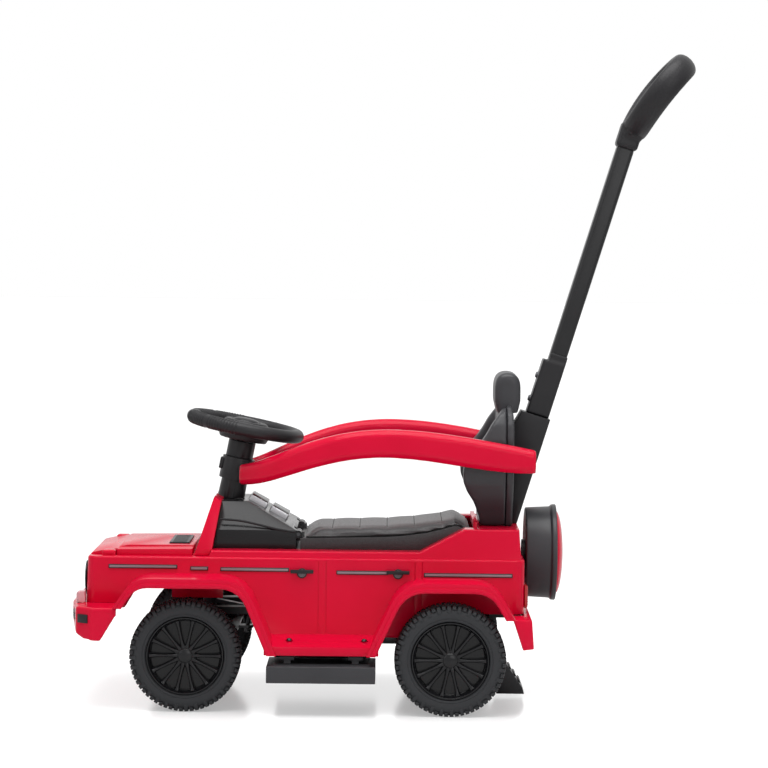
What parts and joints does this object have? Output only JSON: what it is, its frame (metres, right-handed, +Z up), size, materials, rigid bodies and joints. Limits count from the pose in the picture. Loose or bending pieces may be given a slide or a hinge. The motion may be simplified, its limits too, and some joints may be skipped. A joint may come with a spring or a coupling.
{
  "type": "push car with handle",
  "caption": "Ride-on toddler push car in red and black with steered front wheels, lift-up storage seat, guard rails, pull-out steps and a lift-out parent push handle.",
  "frame": {"origin": "on the floor, under the middle of the overall length and width", "axes": "+Z up, -X towards the front of the car, -Y towards the left side seen in the picture"},
  "size_m": [0.8858, 0.4, 0.9227],
  "materials": {
    "body_red": "deep red moulded shell, soft gloss",
    "trim_red": "red moulding, soft gloss",
    "black": "black moulding, fine grain",
    "satin_black": "black, satin",
    "tyre_grey": "charcoal hard tyre, block tread",
    "grey": "mauve grey trim",
    "silver": "silver painted plastic",
    "lens": "clear lamp lens",
    "tail_lens": "translucent red lens",
    "pad_black": "quilted black leatherette",
    "pad_red": "red blow-moulded guard rail",
    "steel": "bright zinc",
    "tube_black": "black powder coat"
  },
  "bodies": {
    "car": {"body_shell": "body_red", "hood": "body_red", "hood_vent": "black", "windscreen_cowl": "trim_red", "grille": "black", "headlamp_bezels": "satin_black", "headlamp_lenses": "lens", "front_bumper": "body_red", "bumper_lamps": "lens", "rear_bumper": "body_red", "tail_lamps": "tail_lens", "spare_drum": "black", "spare_cover": "body_red", "anti_tip_foot": "black", "trim_strips": "grey", "door_handles": "black", "chassis": "black", "rear_axle": "steel", "axle_spacers": "black", "front_axle_beam": "black", "kingpins": "steel", "column_housing": "black", "armrest_collar": "black", "left_armrest": "pad_red", "right_armrest": "pad_red", "dash_console": "black", "hinge_pins": "steel", "storage_tub": "black", "sound_box": "black", "backrest_front": "black", "backrest_rear": "black", "headrest": "black", "handle_socket": "black", "step_rails": "black", "sill_screws": "steel"},
    "steering": {"steering_wheel": "black", "steering_shaft": "steel"},
    "horn": {"horn_button": "black"},
    "left_steer": {"left_knuckle": "black"},
    "right_steer": {"right_knuckle": "black"},
    "tie_rod": {"tie_rod": "steel"},
    "seat": {"seat_lid": "black", "seat_cushion": "pad_black"},
    "upper_button": {"upper_button": "silver"},
    "lower_button": {"lower_button": "silver"},
    "left_step": {"left_step": "black"},
    "right_step": {"right_step": "black"},
    "handle": {"handle_sleeve": "black", "handle_tube": "tube_black", "handle_grip": "black"},
    "lower_snap": {"lower_snap_button": "grey"},
    "upper_snap": {"upper_snap_button": "grey"},
    "front_left_wheel": {"front_left_tyre": "tyre_grey", "front_left_rim": "satin_black"},
    "front_right_wheel": {"front_right_tyre": "tyre_grey", "front_right_rim": "satin_black"},
    "rear_left_wheel": {"rear_left_tyre": "tyre_grey", "rear_left_rim": "satin_black"},
    "rear_right_wheel": {"rear_right_tyre": "tyre_grey", "rear_right_rim": "satin_black"}
  },
  "joints": [
    {"name": "steering_turn", "type": "hinge", "parent": "car", "child": "steering", "pos_m": [-0.20698, 0, 0.387], "axis": [0.1908, 0, 0.9816], "range_deg": [-25, 25]},
    {"name": "left_kingpin_turn", "type": "hinge", "parent": "car", "child": "left_steer", "pos_m": [-0.28, -0.103, 0.0775], "axis": [0, 0, 1], "range_deg": [-25, 25]},
    {"name": "right_kingpin_turn", "type": "hinge", "parent": "car", "child": "right_steer", "pos_m": [-0.28, 0.103, 0.0775], "axis": [0, 0, 1], "range_deg": [-25, 25]},
    {"name": "tie_rod_pivot", "type": "hinge", "parent": "left_steer", "child": "tie_rod", "pos_m": [-0.22, -0.103, 0.098], "axis": [0, 0, 1], "range_deg": [-25, 25]},
    {"name": "front_left_spin", "type": "hinge", "parent": "left_steer", "child": "front_left_wheel", "pos_m": [-0.28, -0.144, 0.0775], "axis": [0, 1, 0], "continuous": true},
    {"name": "front_right_spin", "type": "hinge", "parent": "right_steer", "child": "front_right_wheel", "pos_m": [-0.28, 0.144, 0.0775], "axis": [0, 1, 0], "continuous": true},
    {"name": "rear_left_spin", "type": "hinge", "parent": "car", "child": "rear_left_wheel", "pos_m": [0.087, -0.166, 0.0775], "axis": [0, 1, 0], "continuous": true},
    {"name": "rear_right_spin", "type": "hinge", "parent": "car", "child": "rear_right_wheel", "pos_m": [0.087, 0.166, 0.0775], "axis": [0, 1, 0], "continuous": true},
    {"name": "seat_lift", "type": "hinge", "parent": "car", "child": "seat", "pos_m": [-0.127, 0, 0.24], "axis": [0, -1, 0], "range_deg": [0, 55]},
    {"name": "horn_press", "type": "slide", "parent": "steering", "child": "horn", "axis": [-0.1908, 0, -0.9816], "range_m": [0, 0.0025], "stiffness_N_per_m": 400},
    {"name": "upper_button_press", "type": "slide", "parent": "car", "child": "upper_button", "axis": [-0.4749, 0, -0.88], "range_m": [0, 0.003], "stiffness_N_per_m": 400},
    {"name": "lower_button_press", "type": "slide", "parent": "car", "child": "lower_button", "axis": [-0.4749, 0, -0.88], "range_m": [0, 0.003], "stiffness_N_per_m": 400},
    {"name": "left_step_slide", "type": "slide", "parent": "car", "child": "left_step", "axis": [0, 1, 0], "range_m": [0, 0.045]},
    {"name": "right_step_slide", "type": "slide", "parent": "car", "child": "right_step", "axis": [0, -1, 0], "range_m": [0, 0.045]},
    {"name": "handle_lift", "type": "slide", "parent": "car", "child": "handle", "axis": [0.2957, 0, 0.9553], "range_m": [0, 0.09]},
    {"name": "lower_snap_press", "type": "slide", "parent": "handle", "child": "lower_snap", "axis": [0.9553, 0, -0.2957], "range_m": [0, 0.0015], "stiffness_N_per_m": 400},
    {"name": "upper_snap_press", "type": "slide", "parent": "handle", "child": "upper_snap", "axis": [0.9553, 0, -0.2957], "range_m": [0, 0.0015], "stiffness_N_per_m": 400}
  ],
  "couplings": [
    {"joint": "left_kingpin_turn", "follows": "steering_turn", "ratio": 1},
    {"joint": "right_kingpin_turn", "follows": "steering_turn", "ratio": 1},
    {"joint": "tie_rod_pivot", "follows": "steering_turn", "ratio": -1}
  ]
}
